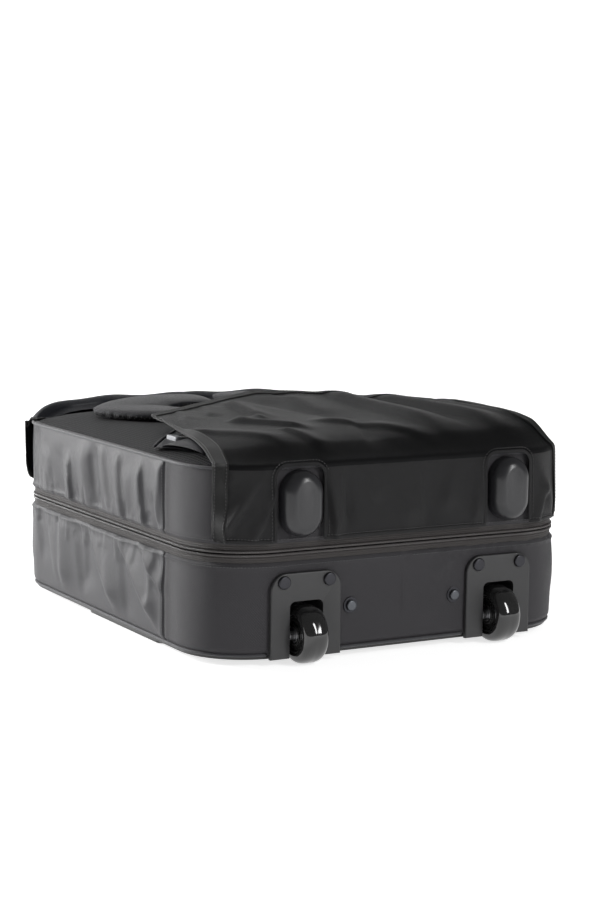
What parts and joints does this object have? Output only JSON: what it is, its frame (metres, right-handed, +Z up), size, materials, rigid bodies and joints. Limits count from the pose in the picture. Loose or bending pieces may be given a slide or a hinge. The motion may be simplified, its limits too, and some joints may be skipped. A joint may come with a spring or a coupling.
{
  "type": "rolling laptop case",
  "caption": "Soft-sided rolling laptop case lying flat: zipped clamshell halves, inset wheels, telescoping handle and stowed shoulder harness under fabric flaps.",
  "frame": {"origin": "middle of the whole outline, on the floor that the wheels and skid rails rest on", "axes": "+Z up through the thickness of the case, +Y from the wheel end to the handle end, +X to the hinge side of the zip"},
  "size_m": [0.3814, 0.4712, 0.2025],
  "materials": {
    "grey_nylon": "woven nylon, satin at the sides and ballistic weave at the ends",
    "black_nylon": "smooth black nylon",
    "piping": "nylon-covered piping",
    "zip_tape": "woven polyester tape",
    "zip_coil": "nylon coil",
    "dark_metal": "gunmetal",
    "air_mesh": "black spacer mesh",
    "strap": "grey nylon over foam",
    "webbing": "ribbed webbing",
    "buckle": "satin grey",
    "lining": "fine polyester lining",
    "housing_plastic": "fine moulded texture",
    "black_plastic": "satin",
    "foot_plastic": "satin, slightly glossy",
    "tyre": "glossy polyurethane",
    "hub": "glossy",
    "steel": "machined",
    "bolt": "dark zinc",
    "tube": "satin anodised",
    "board": "ribbed board"
  },
  "bodies": {
    "base": {"base_shell": "grey_nylon", "back_plate": "black_plastic", "skid_rails": "black_plastic", "base_piping": "piping", "base_floor_board": "board", "laptop_pad": "lining", "well_cover": "lining", "base_lining": "lining", "base_zip_tape": "zip_tape", "base_zip_coil": "zip_coil", "hinge_gusset": "grey_nylon", "wheel_housing_left": "housing_plastic", "wheel_housing_right": "housing_plastic", "wheel_axles": "steel", "axle_spacers": "black_plastic", "housing_bolts": "bolt", "housing_nuts": "steel", "trolley_foot_washers": "bolt", "trolley_foot_bolts": "bolt", "trolley_foot": "black_plastic", "handle_cup": "black_plastic", "outer_tubes": "tube", "outer_collars": "black_plastic"},
    "lid": {"lid_shell": "grey_nylon", "lid_piping": "piping", "lid_lining": "lining", "lid_pocket": "lining", "lid_zip_tape": "zip_tape", "lid_zip_coil": "zip_coil", "feet": "foot_plastic", "foot_screws": "steel", "back_pad": "air_mesh", "shoulder_straps": "strap", "strap_wings": "strap", "ladder_locks": "buckle", "strap_webbing": "webbing", "near_skirt": "black_nylon", "far_flap": "black_nylon"},
    "cover": {"harness_cover": "black_nylon"},
    "wheel_left": {"tyre_left": "tyre", "wheel_hub_left": "hub", "bearings_left": "steel"},
    "wheel_right": {"tyre_right": "tyre", "wheel_hub_right": "hub", "bearings_right": "steel"},
    "middle_stage": {"middle_tubes": "tube", "middle_collars": "black_plastic"},
    "inner_stage": {"inner_tubes": "tube", "grip_core": "black_plastic", "pin_blocks": "black_plastic", "button_spring": "steel"},
    "release": {"release_button": "housing_plastic", "push_rods": "steel"},
    "pin_left": {"lock_pin_left": "steel"},
    "pin_right": {"lock_pin_right": "steel"},
    "slider_left": {"zip_slider_left": "dark_metal"},
    "slider_right": {"zip_slider_right": "dark_metal"},
    "pull_left": {"zip_pull_left": "dark_metal"},
    "pull_right": {"zip_pull_right": "dark_metal"}
  },
  "joints": [
    {"name": "lid_hinge", "type": "hinge", "parent": "base", "child": "lid", "pos_m": [0.1909, 0, 0.0967], "axis": [0, 1, 0], "range_deg": [0, 170], "deforming": ["hinge_gusset"]},
    {"name": "cover_fold", "type": "hinge", "parent": "lid", "child": "cover", "pos_m": [0, -0.2106, 0.1765], "axis": [1, 0, 0], "range_deg": [0, 150]},
    {"name": "wheel_left_spin", "type": "hinge", "parent": "base", "child": "wheel_left", "pos_m": [-0.0984, -0.2101, 0.0255], "axis": [1, 0, 0], "continuous": true},
    {"name": "wheel_right_spin", "type": "hinge", "parent": "base", "child": "wheel_right", "pos_m": [0.0984, -0.2101, 0.0255], "axis": [1, 0, 0], "continuous": true},
    {"name": "middle_stage_slide", "type": "slide", "parent": "base", "child": "middle_stage", "axis": [0, 1, 0], "range_m": [0, 0.33]},
    {"name": "inner_stage_slide", "type": "slide", "parent": "middle_stage", "child": "inner_stage", "axis": [0, 1, 0], "range_m": [0, 0.33]},
    {"name": "button_press", "type": "slide", "parent": "inner_stage", "child": "release", "axis": [0, -1, 0], "range_m": [0, 0.004], "stiffness_N_per_m": 900, "springref_m": -0.003, "deforming": ["button_spring"]},
    {"name": "pin_left_slide", "type": "slide", "parent": "inner_stage", "child": "pin_left", "axis": [1, 0, 0], "range_m": [0, 0.003]},
    {"name": "pin_right_slide", "type": "slide", "parent": "inner_stage", "child": "pin_right", "axis": [-1, 0, 0], "range_m": [0, 0.003]},
    {"name": "slider_left_run", "type": "slide", "parent": "base", "child": "slider_left", "axis": [-1, 0, 0], "range_m": [0, 0.09]},
    {"name": "slider_right_run", "type": "slide", "parent": "base", "child": "slider_right", "axis": [1, 0, 0], "range_m": [0, 0.09]},
    {"name": "pull_left_swing", "type": "hinge", "parent": "slider_left", "child": "pull_left", "pos_m": [-0.022, 0.2344, 0.095], "axis": [1, 0, 0], "range_deg": [0, 150]},
    {"name": "pull_right_swing", "type": "hinge", "parent": "slider_right", "child": "pull_right", "pos_m": [0.022, 0.2344, 0.095], "axis": [1, 0, 0], "range_deg": [0, 150]}
  ],
  "couplings": [
    {"joint": "pin_left_slide", "follows": "button_press", "ratio": 0.75},
    {"joint": "pin_right_slide", "follows": "button_press", "ratio": 0.75}
  ]
}
